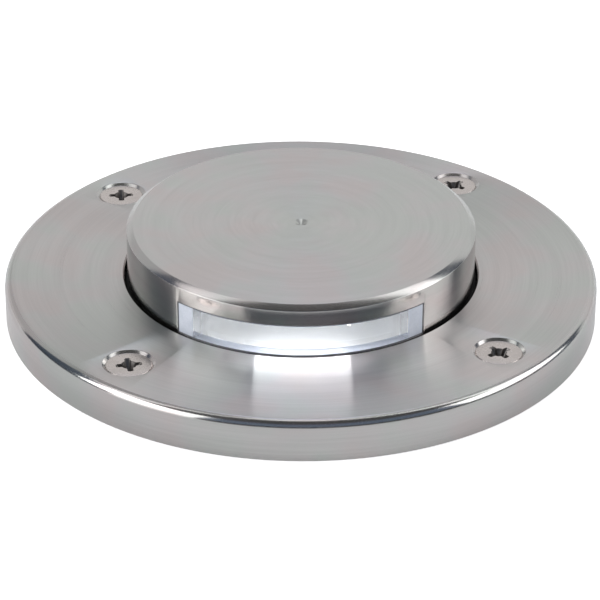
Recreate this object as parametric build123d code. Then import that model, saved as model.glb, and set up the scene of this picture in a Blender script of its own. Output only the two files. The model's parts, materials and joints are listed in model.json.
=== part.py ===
from build123d import *
import os
from math import cos, radians, sin, tan

# In-ground well light: a round stainless trim ring lies on the ground over a buried well, and a
# turned stainless cap stands in the ring's bore and throws light out of one curved side window.
# Millimetres, +Z up. The origin is on the light's axis at finished ground level, which is the
# underside of the ring's outer lip. The window faces -Y.

# ---------------------------------------------------------------- driving dimensions: head cap
cap_radius = 44.0
cap_stand_up = 13.2            # top face above the ring's top face
cap_wall = 6.0
cap_roof = 4.0
cap_chamfer_width = 1.64
cap_chamfer_height = 1.15
cap_lip_reach = 4.0            # lip that keeps the cap under the ring
cap_lip_thickness = 2.5
cap_lip_gap = 0.3              # above and below the lip, so that the cap can be turned
cap_bore_gap = 0.8             # cap wall to ring bore
dimple_radius = 1.9            # lathe centre mark in the top face
dimple_depth = 0.35

# ---------------------------------------------------------------- driving dimensions: window
window_half_angle = 43.0
window_top_rise = 8.1          # above the ring's top face
window_sill_drop = 0.5         # below the ring's top face
window_seal_thickness = 0.35
lens_inset = 0.1               # lens face behind the cap's wall

# ---------------------------------------------------------------- driving dimensions: trim ring
ring_width = 31.0              # from the cap's wall to the ring's rim
ring_height = 10.7
ring_plate_thickness = 5.2
ring_lip_width = 4.8
ring_top_fillet = 2.25
ring_foot_chamfer = 0.3
bore_chamfer = 0.4

# ---------------------------------------------------------------- driving dimensions: ring screws
screw_shank_radius = 3.0
screw_head_radius = 5.65
screw_head_sink = 0.6          # head face below the ring's top face
screw_head_land = 0.15
screw_head_seat_gap = 0.08
screw_length = 20.0
screw_hole_gap = 0.3
screw_count = 4
screw_start_angle = 49.4       # first screw, from +X towards +Y
recess_span = 6.7
recess_width = 1.5
recess_end_width = 1.2         # at the recess's bottom
recess_depth = 3.0
recess_taper = 0.42            # share of the span left at the bottom
recess_core_radius = 1.8
recess_tip_radius = 0.8
recess_turns = {"back_right": 50.0, "back_left": 5.0, "front_left": 12.0, "front_right": 36.0}

# ---------------------------------------------------------------- driving dimensions: seals
ring_gasket_thickness = 1.5
gasket_edge = 0.4
cap_oring_section_radius = 1.0
oring_play = 0.05
oring_side_gap = 0.2

# ---------------------------------------------------------------- driving dimensions: well
well_side_gap = 1.2            # well to the inside of the ring's lip
well_wall = 3.6
well_rim_step = 1.4
well_edge_chamfer = 0.8
well_floor = 4.0
insert_radius = 4.0
insert_length = 12.0
insert_cover = 1.8             # wall outside the insert
insert_bore_gap = 0.05
boss_wall = 3.0
boss_blind_depth = 20.0
post_radius = 5.0
post_circle_inset = 4.5        # post centre inside the well's bore
notch_width = 16.0
notch_height = 14.0
notch_fillet = 4.0

# ---------------------------------------------------------------- driving dimensions: retainer
retainer_thickness = 2.0
retainer_side_gap = 0.6
retainer_boss_gap = 1.7
retainer_overlap = 5.0         # under the lip
small_screw_radius = 1.5
small_screw_gap = 0.05
small_head_radius = 2.75
small_head_height = 1.8
retainer_thread_depth = 3.5
post_count = 4                 # posts in the well and screws in the retainer, between the ring screws

# ---------------------------------------------------------------- driving dimensions: light engine
carrier_depth = 5.0            # carrier's top face below ground level
carrier_thickness = 4.0
carrier_edge_gap = 0.8
carrier_boss_gap = 0.6
carrier_screw_radius = 2.0
carrier_head_radius = 3.5
carrier_head_height = 2.4
carrier_screw_length = 14.0
pedestal_height = 4.0
pedestal_margin = 2.5
board_radius = 19.5
board_thickness = 1.6
pad_thickness = 0.5
board_screw_circle_radius = 16.0
board_screw_length = 6.0
board_screw_count = 3
board_screw_start_angle = 20.0
emitter_side = 7.0
emitter_base_height = 0.6
emitter_dome_radius = 2.6
optic_foot_inner_radius = 5.4
optic_foot_outer_radius = 7.0
optic_top_radius = 9.5
optic_height = 7.1
optic_rim_height = 1.0
optic_cavity_height = 3.5
optic_cavity_shoulder_radius = 3.8
optic_cavity_shoulder = 0.5    # below the cavity's middle
connector_inner_radius = 12.5
connector_length = 4.5
connector_width = 7.6
connector_height = 2.2
connector_corner = 0.4
dish_thickness = 1.2
dish_side_gap = 1.8            # dish rim to the cap's inside
dish_rim_rise = 2.3            # dish rim above the cap's lower edge
dish_slope_rise = 1.0
dish_hole_gap = 0.8
reflector_thickness = 1.0
reflector_side_gap = 0.4
reflector_apex_gap = 2.3       # cone tip above the optic
reflector_skirt_gap = 1.5      # skirt above the dish rim
reflector_window_margin = 3.0  # degrees past the window's ends
reflector_screw_circle_radius = 26.0
reflector_screw_radius = 1.25
reflector_head_radius = 2.2
reflector_head_height = 1.6
reflector_screw_depth = 2.8
reflector_screw_count = 3
reflector_screw_start_angle = -90.0

# ---------------------------------------------------------------- driving dimensions: electrics
driver_length = 60.0
driver_width = 30.0
driver_height = 19.5
driver_wall = 1.6
driver_corner = 3.0
driver_air = 5.5               # driver top to the carrier
driver_front = 15.0            # front face, +Y side of the axis
driver_lead_height = 11.7      # leads above the compartment's floor
driver_tab_length = 8.0
driver_tab_width = 12.0
driver_tab_thickness = 2.0
potting_drop = 1.0
standoff_radius = 3.5
standoff_height = 5.0
self_tap_radius = 1.45
self_tap_bite = 1.0            # screw tips below the compartment's floor
block_x = -24.0
block_y = -14.0
block_length = 20.0
block_width = 18.0
block_height = 14.0
block_pad_height = 3.0
block_pole_spacing = 10.0
block_entry_depth = 6.0
block_corner = 1.0
block_foot_root = 0.5          # screw feet run this far into the block
clamp_screw_radius = 2.0
clamp_screw_height = 1.8
clamp_screw_drop = 0.6
lead_radius = 0.9
lead_entry_gap = 0.2
lead_spacing = 4.0
supply_lead_inset = 13.0       # middle of the pair from the driver's end
supply_lead_block_run = 4.0    # straight run at the terminal block
supply_lead_driver_run = 7.0   # straight run at the driver
grommet_side_gap = 0.6         # flange to the dish's inside
grommet_angle = -39.3
grommet_bore_radius = 3.1
grommet_wall = 1.5
grommet_flange_reach = 1.4
grommet_flange_thickness = 1.0

# ---------------------------------------------------------------- driving dimensions: cable gland
gland_y = -34.0
gland_thread_radius = 8.0
gland_hole_gap = 0.15
gland_across_flats = 20.0
gland_hex_height = 5.0
gland_washer_thickness = 1.5
gland_locknut_height = 5.0
gland_thread_end = 1.0         # thread past the locknut
gland_bore_radius = 5.3
gland_collar_radius = 8.65
gland_collar_length = 8.5
gland_seal_radius = 6.9
gland_seal_bore_radius = 3.6
gland_seal_length = 9.0
gland_seal_gap = 0.1
gland_nut_gap = 0.8            # nut to the body's hexagon
gland_nut_thread_gap = 0.05
gland_nut_hex_height = 10.0
gland_nut_dome_height = 6.7
gland_nut_dome_radius = 9.2    # at the dome's shoulder
gland_nut_dome_shoulder = 2.7  # below the nut's hexagon
gland_nut_mouth_radius = 5.0
gland_nut_tip_radius = 6.6
gland_floor_gap = 2.0          # nut to the plane that the well stands on

# ---------------------------------------------------------------- levels and radii worked out
ring_radius = cap_radius + ring_width
ring_bore_radius = cap_radius + cap_bore_gap
ring_recess_radius = ring_radius - ring_lip_width
ring_ceiling = ring_height - ring_plate_thickness
rim_top = ring_ceiling - ring_gasket_thickness
cap_top = ring_height + cap_stand_up
cap_cavity_radius = cap_radius - cap_wall
cap_ceiling = cap_top - cap_roof
cap_lip_radius = cap_radius + cap_lip_reach
lip_top = ring_ceiling - cap_lip_gap
lip_bottom = lip_top - cap_lip_thickness
retainer_shelf = lip_bottom - cap_lip_gap
retainer_bottom = retainer_shelf - retainer_thickness
window_sill = ring_height - window_sill_drop
window_head = ring_height + window_top_rise
oring_level = (ring_ceiling + window_sill) / 2

well_radius = ring_recess_radius - well_side_gap
well_rim_radius = well_radius - well_rim_step
well_bore_radius = well_radius - well_wall
screw_circle_radius = well_radius - insert_radius - insert_cover
boss_radius = insert_radius + boss_wall
boss_inner_reach = screw_circle_radius - boss_radius
post_circle_radius = well_bore_radius - post_circle_inset
post_start_angle = screw_start_angle - 180.0 / screw_count

retainer_inner_radius = cap_lip_radius - retainer_overlap
retainer_step_radius = cap_lip_radius + retainer_side_gap
retainer_outer_radius = boss_inner_reach - retainer_boss_gap
retainer_screw_circle_radius = (retainer_step_radius + retainer_outer_radius) / 2

carrier_top = -carrier_depth
carrier_bottom = carrier_top - carrier_thickness
pedestal_top = carrier_top + pedestal_height
board_bottom = pedestal_top + pad_thickness
board_top = board_bottom + board_thickness
optic_top = board_top + optic_height
dish_rim_radius = cap_cavity_radius - dish_side_gap
dish_rim_top = lip_bottom + dish_rim_rise
dish_hole_radius = optic_top_radius + dish_hole_gap
connector_middle = board_top + connector_height / 2

well_floor_top = carrier_bottom - driver_air - driver_height
well_floor_bottom = well_floor_top - well_floor
gland_washer_bottom = well_floor_bottom - gland_washer_thickness
gland_hex_bottom = gland_washer_bottom - gland_hex_height
gland_collar_bottom = gland_hex_bottom - gland_collar_length
gland_nut_top = gland_hex_bottom - gland_nut_gap
gland_nut_bottom = gland_nut_top - gland_nut_hex_height - gland_nut_dome_height
well_bottom = gland_nut_bottom - gland_floor_gap
gland_seal_top = gland_collar_bottom + gland_seal_length - gland_seal_gap
gland_hex_radius = gland_across_flats / 2 / cos(radians(30))

driver_middle_y = driver_front + driver_width / 2
driver_tab_x = driver_length / 2 + driver_tab_length / 2
driver_lead_level = well_floor_top + driver_lead_height
block_bottom = well_floor_top + block_pad_height
block_top = block_bottom + block_height
block_screw_reach = block_width / 2 + standoff_radius - block_foot_root
block_poles = (-block_pole_spacing / 2, block_pole_spacing / 2)
self_tap_tip = well_floor_top - self_tap_bite
block_lead_level = block_bottom + block_height / 2
clamp_screw_bottom = block_top - clamp_screw_height - clamp_screw_drop
grommet_flange_radius = grommet_bore_radius + grommet_wall + grommet_flange_reach
grommet_reach = dish_rim_radius - dish_thickness - grommet_side_gap - grommet_flange_radius
grommet_x = grommet_reach * cos(radians(grommet_angle))
grommet_y = grommet_reach * sin(radians(grommet_angle))
screw_names = list(recess_turns)

ON_BASE = (Align.CENTER, Align.CENTER, Align.MIN)
MARGIN = 1.0                   # how far a cutting solid runs past what it cuts


# ---------------------------------------------------------------- small shape helpers
def disc(radius, bottom, top):
    """Upright cylinder on the light's axis."""
    return Pos(0, 0, bottom) * Cylinder(radius, top - bottom, align=ON_BASE)


def ring(inner, outer, bottom, top):
    """Upright tube on the light's axis."""
    return disc(outer, bottom, top) - disc(inner, bottom - MARGIN, top + MARGIN)


def block(length, width, bottom, top):
    """Upright box on the light's axis."""
    return Pos(0, 0, bottom) * Box(length, width, top - bottom, align=ON_BASE)


def hexagon(radius, bottom, top):
    """Upright hexagonal bar on the light's axis."""
    return Pos(0, 0, bottom) * extrude(RegularPolygon(radius, 6), amount=top - bottom)


def turned(points):
    """Solid turned about the light's axis from (radius, level) points."""
    return revolve(Plane.XZ * make_face(Polyline(*points, close=True)), Axis.Z)


def sector(inner, outer, bottom, top, half_angle):
    """Part of a tube, centred on the -Y side."""
    middle = Pos((inner + outer) / 2, (bottom + top) / 2)
    section = Plane.XZ * middle * Rectangle(outer - inner, top - bottom)
    return Rot(0, 0, -90 - half_angle) * revolve(section, Axis.Z, revolution_arc=2 * half_angle)


def around(piece, count, start_angle, reach):
    """Copies of a piece, evenly spaced on a circle."""
    return [
        Rot(0, 0, start_angle + i * 360.0 / count) * Pos(reach, 0, 0) * piece
        for i in range(count)
    ]


def pan_screw(shank_radius, head_radius, head_height, seat, length):
    """Slotted pan-head screw that points down from its seat."""
    screw = disc(shank_radius, seat - length, seat) + disc(head_radius, seat, seat + head_height)
    screw = fillet(screw.edges().group_by(Axis.Z)[-1], head_height / 3)
    slot_bottom = seat + head_height / 2
    return screw - block(3 * head_radius, head_radius / 4, slot_bottom, seat + head_height + MARGIN)


def cross_recess(top):
    """Tapered cross recess, as a cutting solid, whose mouth is at the given level."""
    bottom = top - recess_depth
    cutter = turned([(0, top), (recess_core_radius, top), (recess_tip_radius, bottom), (0, bottom)])
    for turn in (0, 90):
        mouth = Pos(0, 0, top) * Rot(0, 0, turn) * Rectangle(recess_span, recess_width)
        end_outline = Rectangle(recess_span * recess_taper, recess_end_width)
        end = Pos(0, 0, bottom) * Rot(0, 0, turn) * end_outline
        cutter += loft([end.face(), mouth.face()])
    return cutter


def lead(points):
    """Round insulated lead along straight runs joined by the widest arcs that they allow."""
    radii = []
    share = 0.45               # of the shorter run, on each side of a corner
    for before, corner, after in zip(points, points[1:], points[2:]):
        run_in = Vector(*corner) - Vector(*before)
        run_out = Vector(*after) - Vector(*corner)
        turn = radians(run_in.get_angle(run_out))
        radii.append(share * min(run_in.length, run_out.length) / tan(turn / 2))
    print("lead bend radii, mm:", [round(radius, 1) for radius in radii])
    path = FilletPolyline(*points, radius=radii)
    return sweep(Plane(path @ 0, z_dir=path % 0) * Circle(lead_radius), path=path)


# ---------------------------------------------------------------- head: cap, window, reflector
def window_opening(inset):
    """The window's space in the cap's wall, drawn in on all four sides by an inset."""
    end_inset = inset / radians(1) / cap_radius
    return sector(
        cap_cavity_radius - MARGIN,
        cap_radius + MARGIN,
        window_sill + inset,
        window_head - inset,
        window_half_angle - end_inset,
    )


def at_reflector_screws(piece):
    """Copies of a piece at each of the reflector's screws."""
    return around(
        piece, reflector_screw_count, reflector_screw_start_angle, reflector_screw_circle_radius
    )


def make_head_cap():
    body = turned([
        (0, cap_ceiling),
        (0, cap_top),
        (cap_radius - cap_chamfer_width, cap_top),
        (cap_radius, cap_top - cap_chamfer_height),
        (cap_radius, lip_top),
        (cap_lip_radius, lip_top),
        (cap_lip_radius, lip_bottom),
        (cap_cavity_radius, lip_bottom),
        (cap_cavity_radius, cap_ceiling),
    ])
    body -= window_opening(0)
    groove_half = cap_oring_section_radius + oring_side_gap
    groove_floor = ring_bore_radius - oring_play - 2 * cap_oring_section_radius - oring_play
    body -= ring(groove_floor, cap_radius + MARGIN, oring_level - groove_half, oring_level + groove_half)
    dimple_sphere = (dimple_radius**2 + dimple_depth**2) / (2 * dimple_depth)
    body -= Pos(0, 0, cap_top + dimple_sphere - dimple_depth) * Sphere(dimple_sphere)
    thread = disc(
        reflector_screw_radius + small_screw_gap,
        cap_ceiling - MARGIN,
        cap_ceiling + reflector_screw_depth,
    )
    for hole in at_reflector_screws(thread):
        body -= hole
    return body


def make_window_lens():
    band = ring(cap_cavity_radius + lens_inset, cap_radius - lens_inset, window_sill, window_head)
    return band & window_opening(window_seal_thickness)


def make_window_seal():
    band = ring(cap_cavity_radius + lens_inset, cap_radius - 2 * lens_inset, window_sill, window_head)
    return (band & window_opening(0)) - window_opening(window_seal_thickness)


def make_cap_oring():
    reach = ring_bore_radius - oring_play - cap_oring_section_radius
    return Pos(0, 0, oring_level) * Torus(reach, cap_oring_section_radius)


def make_cap_reflector():
    outer = cap_cavity_radius - reflector_side_gap
    inner = outer - reflector_thickness
    plate_bottom = cap_ceiling - reflector_thickness
    tip = optic_top + reflector_apex_gap
    skirt_bottom = dish_rim_top + reflector_skirt_gap
    body = turned([
        (0, cap_ceiling),
        (outer, cap_ceiling),
        (outer, skirt_bottom),
        (inner, skirt_bottom),
        (inner, plate_bottom),
        (plate_bottom - tip, plate_bottom),
        (0, tip),
    ])
    body -= sector(
        inner - MARGIN, outer + MARGIN, skirt_bottom - MARGIN, plate_bottom,
        window_half_angle + reflector_window_margin,
    )
    hole = disc(reflector_screw_radius + small_screw_gap, plate_bottom - MARGIN, cap_ceiling + MARGIN)
    for cut in at_reflector_screws(hole):
        body -= cut
    return body


def make_reflector_screws():
    plate_bottom = cap_ceiling - reflector_thickness
    length = reflector_thickness + reflector_screw_depth - MARGIN / 4
    upright = pan_screw(reflector_screw_radius, reflector_head_radius, reflector_head_height, 0, length)
    hanging = Pos(0, 0, plate_bottom) * Rot(180, 0, 0) * upright
    return at_reflector_screws(hanging)


# ---------------------------------------------------------------- trim ring and its fasteners
def make_trim_ring():
    body = turned([
        (ring_bore_radius, ring_ceiling),
        (ring_bore_radius, ring_height - bore_chamfer),
        (ring_bore_radius + bore_chamfer, ring_height),
        (ring_radius, ring_height),
        (ring_radius, ring_foot_chamfer),
        (ring_radius - ring_foot_chamfer, 0),
        (ring_recess_radius, 0),
        (ring_recess_radius, ring_ceiling),
    ])
    top_edges = body.edges().filter_by(GeomType.CIRCLE).group_by(Axis.Z)[-1]
    body = fillet(top_edges.sort_by(SortBy.RADIUS)[-1], ring_top_fillet)
    cone_mouth = screw_head_radius + screw_head_land + screw_head_sink
    hole_radius = screw_shank_radius + screw_hole_gap
    cutter = turned([
        (0, ring_height + MARGIN),
        (cone_mouth + MARGIN, ring_height + MARGIN),
        (hole_radius, ring_height - cone_mouth + hole_radius),
        (hole_radius, ring_ceiling - MARGIN),
        (0, ring_ceiling - MARGIN),
    ])
    for hole in around(cutter, screw_count, screw_start_angle, screw_circle_radius):
        body -= hole
    thread = disc(
        small_screw_radius + small_screw_gap,
        ring_ceiling - MARGIN,
        ring_ceiling + retainer_thread_depth,
    )
    for hole in around(thread, post_count, post_start_angle, retainer_screw_circle_radius):
        body -= hole
    return body


def make_ring_screw(index):
    """Countersunk cross-recess screw through the ring into its insert."""
    top = ring_height - screw_head_sink + screw_head_seat_gap
    cone_bottom = top - screw_head_land - (screw_head_radius - screw_shank_radius)
    tip = top - screw_length
    screw = turned([
        (0, top),
        (screw_head_radius, top),
        (screw_head_radius, top - screw_head_land),
        (screw_shank_radius, cone_bottom),
        (screw_shank_radius, tip + screw_shank_radius / 4),
        (screw_shank_radius * 3 / 4, tip),
        (0, tip),
    ])
    screw -= cross_recess(top)
    name = screw_names[index]
    angle = screw_start_angle + index * 360.0 / screw_count
    place = Rot(0, 0, angle) * Pos(screw_circle_radius, 0, 0) * Rot(0, 0, recess_turns[name] - angle)
    return place * screw


def make_ring_gasket():
    body = ring(well_bore_radius + gasket_edge, well_rim_radius, rim_top, ring_ceiling)
    lobe = disc(boss_radius - gasket_edge, rim_top, ring_ceiling)
    for whole in around(lobe, screw_count, screw_start_angle, screw_circle_radius):
        body += whole & disc(well_rim_radius, rim_top, ring_ceiling)
    hole = disc(screw_shank_radius + screw_hole_gap, rim_top - MARGIN, ring_ceiling + MARGIN)
    for cut in around(hole, screw_count, screw_start_angle, screw_circle_radius):
        body -= cut
    return body


def make_cap_retainer():
    body = turned([
        (retainer_inner_radius, retainer_bottom),
        (retainer_outer_radius, retainer_bottom),
        (retainer_outer_radius, ring_ceiling),
        (retainer_step_radius, ring_ceiling),
        (retainer_step_radius, retainer_shelf),
        (retainer_inner_radius, retainer_shelf),
    ])
    hole = disc(small_screw_radius + small_screw_gap, retainer_bottom - MARGIN, ring_ceiling + MARGIN)
    for cut in around(hole, post_count, post_start_angle, retainer_screw_circle_radius):
        body -= cut
    return body


def make_retainer_screws():
    length = ring_ceiling - retainer_bottom + retainer_thread_depth - MARGIN / 4
    upright = pan_screw(small_screw_radius, small_head_radius, small_head_height, 0, length)
    hanging = Pos(0, 0, retainer_bottom) * Rot(180, 0, 0) * upright
    return around(hanging, post_count, post_start_angle, retainer_screw_circle_radius)


# ---------------------------------------------------------------- well housing and inserts
def floor_hole_places():
    """Centres of the screws that go into the well's floor, with the level of each seat."""
    stand = well_floor_top + standoff_height
    places = [(side * driver_tab_x, driver_middle_y, stand) for side in (-1, 1)]
    for side in (-1, 1):
        places.append((block_x, block_y + side * block_screw_reach, block_bottom))
    return places


def make_well_housing():
    shell = turned([
        (0, well_floor_bottom),
        (0, well_floor_top),
        (well_bore_radius, well_floor_top),
        (well_bore_radius, rim_top),
        (well_rim_radius, rim_top),
        (well_rim_radius, 0),
        (well_radius, 0),
        (well_radius, well_bottom + well_edge_chamfer),
        (well_radius - well_edge_chamfer, well_bottom),
        (well_bore_radius, well_bottom),
        (well_bore_radius, well_floor_bottom),
    ])
    envelope = disc((well_bore_radius + well_rim_radius) / 2, well_floor_bottom, rim_top)
    boss = disc(boss_radius, well_floor_top, rim_top)
    for whole in around(boss, screw_count, screw_start_angle, screw_circle_radius):
        shell += whole & envelope
    post = disc(post_radius, well_floor_top, carrier_bottom)
    for whole in around(post, post_count, post_start_angle, post_circle_radius):
        shell += whole & envelope
    for x, y, seat in floor_hole_places():
        shell += Pos(x, y, 0) * disc(standoff_radius, well_floor_top, seat)
    shell += Pos(block_x, block_y, 0) * block(block_length, block_width, well_floor_top, block_bottom)

    pocket = disc(insert_radius, rim_top - insert_length, rim_top + MARGIN)
    for cut in around(pocket, screw_count, screw_start_angle, screw_circle_radius):
        shell -= cut
    blind = disc(screw_shank_radius + screw_hole_gap, rim_top - boss_blind_depth, rim_top)
    for hole in around(blind, screw_count, screw_start_angle, screw_circle_radius):
        shell -= hole
    carrier_pilot = disc(
        carrier_screw_radius + small_screw_gap,
        carrier_top - carrier_screw_length - MARGIN,
        carrier_bottom + MARGIN,
    )
    for hole in around(carrier_pilot, post_count, post_start_angle, post_circle_radius):
        shell -= hole
    for x, y, seat in floor_hole_places():
        pilot = disc(self_tap_radius + small_screw_gap, self_tap_tip - MARGIN / 2, seat + MARGIN)
        shell -= Pos(x, y, 0) * pilot
    gland_hole_radius = gland_thread_radius + gland_hole_gap
    shell -= at_gland(disc(gland_hole_radius, well_floor_bottom - MARGIN, well_floor_top + MARGIN))

    notch = Box(notch_width, 4 * well_wall, notch_height, align=ON_BASE)
    notch = fillet(notch.edges().filter_by(Axis.Y).group_by(Axis.Z)[-1], notch_fillet)
    for side in (-1, 1):
        shell -= Pos(0, side * (well_radius - well_wall / 2), well_bottom - MARGIN) * notch
    return shell


def make_threaded_inserts():
    sleeve = ring(screw_shank_radius + insert_bore_gap, insert_radius, rim_top - insert_length, rim_top)
    return around(sleeve, screw_count, screw_start_angle, screw_circle_radius)


# ---------------------------------------------------------------- light engine on its carrier
def at_board_screws(piece):
    """Copies of a piece at each of the light source's screws."""
    return around(piece, board_screw_count, board_screw_start_angle, board_screw_circle_radius)


def make_led_carrier():
    body = disc(well_bore_radius - carrier_edge_gap, carrier_bottom, carrier_top)
    body += disc(board_radius + pedestal_margin, carrier_top, pedestal_top)
    boss_cut = disc(boss_radius + carrier_boss_gap, carrier_bottom - MARGIN, carrier_top + MARGIN)
    for cut in around(boss_cut, screw_count, screw_start_angle, screw_circle_radius):
        body -= cut
    hole_radius = carrier_screw_radius + screw_hole_gap
    screw_hole = disc(hole_radius, carrier_bottom - MARGIN, carrier_top + MARGIN)
    for hole in around(screw_hole, post_count, post_start_angle, post_circle_radius):
        body -= hole
    lead_hole = disc(grommet_bore_radius + grommet_wall, carrier_bottom - MARGIN, carrier_top + MARGIN)
    body -= Pos(grommet_x, grommet_y, 0) * lead_hole
    thread = disc(
        small_screw_radius + small_screw_gap,
        board_top - board_screw_length - MARGIN / 2,
        pedestal_top + MARGIN,
    )
    for hole in at_board_screws(thread):
        body -= hole
    return body


def make_carrier_screws():
    screw = pan_screw(
        carrier_screw_radius, carrier_head_radius, carrier_head_height, carrier_top, carrier_screw_length
    )
    return around(screw, post_count, post_start_angle, post_circle_radius)


def board_layer(bottom, top):
    """Round layer under the light source, with the three screw holes."""
    layer = disc(board_radius, bottom, top)
    hole = disc(small_screw_radius + small_screw_gap, bottom - MARGIN, top + MARGIN)
    for cut in at_board_screws(hole):
        layer -= cut
    return layer


def make_board_screws():
    screw = pan_screw(
        small_screw_radius, small_head_radius, small_head_height, board_top, board_screw_length
    )
    return at_board_screws(screw)


def make_led_emitter():
    base_top = board_top + emitter_base_height
    base = block(emitter_side, emitter_side, board_top, base_top)
    dome_height = emitter_dome_radius / 2
    sphere_radius = (emitter_dome_radius**2 + dome_height**2) / (2 * dome_height)
    dome = Pos(0, 0, base_top + dome_height - sphere_radius) * Sphere(sphere_radius)
    above_base = disc(emitter_side, base_top - emitter_base_height / 2, base_top + 2 * dome_height)
    return base + (dome & above_base)


def make_led_optic():
    return turned([
        (optic_foot_inner_radius, board_top),
        (optic_foot_outer_radius, board_top),
        (optic_foot_outer_radius, board_top + emitter_base_height),
        (optic_top_radius, optic_top - optic_rim_height),
        (optic_top_radius, optic_top),
        (0, optic_top),
        (0, board_top + optic_cavity_height),
        (optic_cavity_shoulder_radius, board_top + optic_cavity_height - optic_cavity_shoulder),
    ])


def make_board_connector():
    middle = connector_inner_radius + connector_length / 2
    shell = block(connector_length, connector_width, board_top, board_top + connector_height)
    shell = fillet(shell.edges().filter_by(Axis.Z), connector_corner)
    return Rot(0, 0, grommet_angle) * Pos(middle, 0, 0) * shell


def make_deck_reflector():
    slope_top = dish_rim_top + dish_slope_rise
    inner_wall = dish_rim_radius - dish_thickness
    return turned([
        (inner_wall, carrier_top),
        (dish_rim_radius, carrier_top),
        (dish_rim_radius, dish_rim_top),
        (dish_hole_radius, slope_top),
        (dish_hole_radius, slope_top - dish_thickness),
        (inner_wall, dish_rim_top - dish_thickness),
    ])


def make_lead_grommet():
    bore = grommet_bore_radius
    neck = bore + grommet_wall
    body = turned([
        (bore, carrier_bottom - grommet_flange_thickness),
        (grommet_flange_radius, carrier_bottom - grommet_flange_thickness),
        (grommet_flange_radius, carrier_bottom),
        (neck, carrier_bottom),
        (neck, carrier_top),
        (grommet_flange_radius, carrier_top),
        (grommet_flange_radius, carrier_top + grommet_flange_thickness),
        (bore, carrier_top + grommet_flange_thickness),
    ])
    return Pos(grommet_x, grommet_y, 0) * body


# ---------------------------------------------------------------- driver, terminals and leads
def driver_space(inset, bottom, top):
    """Rounded box of the driver's outline, drawn in by an inset."""
    body = block(driver_length - 2 * inset, driver_width - 2 * inset, bottom, top)
    body = fillet(body.edges().filter_by(Axis.Z), driver_corner - inset)
    return Pos(0, driver_middle_y, 0) * body


def make_driver_case():
    top = well_floor_top + driver_height
    body = driver_space(0, well_floor_top, top)
    tab_bottom = well_floor_top + standoff_height
    tab_top = tab_bottom + driver_tab_thickness
    for side in (-1, 1):
        tab = block(driver_tab_length + driver_wall, driver_tab_width, tab_bottom, tab_top)
        body += Pos(side * (driver_tab_x - driver_wall / 2), driver_middle_y, 0) * tab
    body -= driver_space(driver_wall, well_floor_top + driver_wall, top + MARGIN)
    for side in (-1, 1):
        hole = disc(self_tap_radius + screw_hole_gap, tab_bottom - MARGIN, tab_top + MARGIN)
        body -= Pos(side * driver_tab_x, driver_middle_y, 0) * hole
    return body


def make_driver_potting():
    top = well_floor_top + driver_height - potting_drop
    return driver_space(driver_wall, well_floor_top + driver_wall, top)


def make_driver_screws():
    seat = well_floor_top + standoff_height + driver_tab_thickness
    screw = pan_screw(self_tap_radius, small_head_radius, small_head_height, seat, seat - self_tap_tip)
    return [Pos(side * driver_tab_x, driver_middle_y, 0) * screw for side in (-1, 1)]


def make_terminal_block():
    body = block(block_length, block_width, block_bottom, block_top)
    body = fillet(body.edges().filter_by(Axis.Z), block_corner)
    foot_side = 2 * standoff_radius
    for side in (-1, 1):
        foot = block(foot_side, foot_side, block_bottom, block_bottom + driver_tab_thickness)
        foot -= disc(self_tap_radius + screw_hole_gap, block_bottom - MARGIN, block_top)
        body += Pos(0, side * block_screw_reach, 0) * foot
    entry_radius = lead_radius + lead_entry_gap
    for x in block_poles:
        for side in (-1, 1):
            mouth = Pos(x, side * (block_width / 2 - block_entry_depth), block_lead_level)
            body -= mouth * Rot(-90 * side, 0, 0) * Cylinder(entry_radius, block_width, align=ON_BASE)
            pit = disc(clamp_screw_radius + small_screw_gap, clamp_screw_bottom, block_top + MARGIN)
            body -= Pos(x, side * block_width / 4, 0) * pit
    return Pos(block_x, block_y, 0) * body


def make_clamp_screws():
    screw = disc(clamp_screw_radius, clamp_screw_bottom, clamp_screw_bottom + clamp_screw_height)
    slot_bottom = clamp_screw_bottom + clamp_screw_height / 2
    screw -= block(4 * clamp_screw_radius, clamp_screw_radius / 4, slot_bottom, block_top)
    return [
        Pos(block_x + x, block_y + side * block_width / 4, 0) * screw
        for x in block_poles
        for side in (-1, 1)
    ]


def make_block_screws():
    seat = block_bottom + driver_tab_thickness
    screw = pan_screw(self_tap_radius, small_head_radius, small_head_height, seat, seat - self_tap_tip)
    return [Pos(block_x, block_y + side * block_screw_reach, 0) * screw for side in (-1, 1)]


def make_supply_lead(pole):
    """Lead from a pole of the terminal block to the driver's front face."""
    start_x = block_x + block_poles[pole]
    end_x = supply_lead_inset - driver_length / 2 + block_poles[pole]
    face = block_y + block_width / 2
    return lead([
        (start_x, face - block_entry_depth + lead_entry_gap, block_lead_level),
        (start_x, face + supply_lead_block_run, block_lead_level),
        (end_x, driver_front - supply_lead_driver_run, driver_lead_level),
        (end_x, driver_front, driver_lead_level),
    ])


def make_led_lead(side):
    """Lead from the driver's front face, through the grommet, to the board's connector."""
    u = (cos(radians(grommet_angle)), sin(radians(grommet_angle)))
    x = grommet_x - side * lead_spacing / 2 * u[1]
    y = grommet_y + side * lead_spacing / 2 * u[0]
    along = grommet_reach - connector_inner_radius - connector_length
    return lead([
        (x, driver_front, driver_lead_level),
        (x, y, driver_lead_level),
        (x, y, connector_middle),
        (x - along * u[0], y - along * u[1], connector_middle),
    ])


# ---------------------------------------------------------------- cable gland
def at_gland(piece):
    """Places a piece on the gland's axis."""
    return Pos(0, gland_y, 0) * piece


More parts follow.
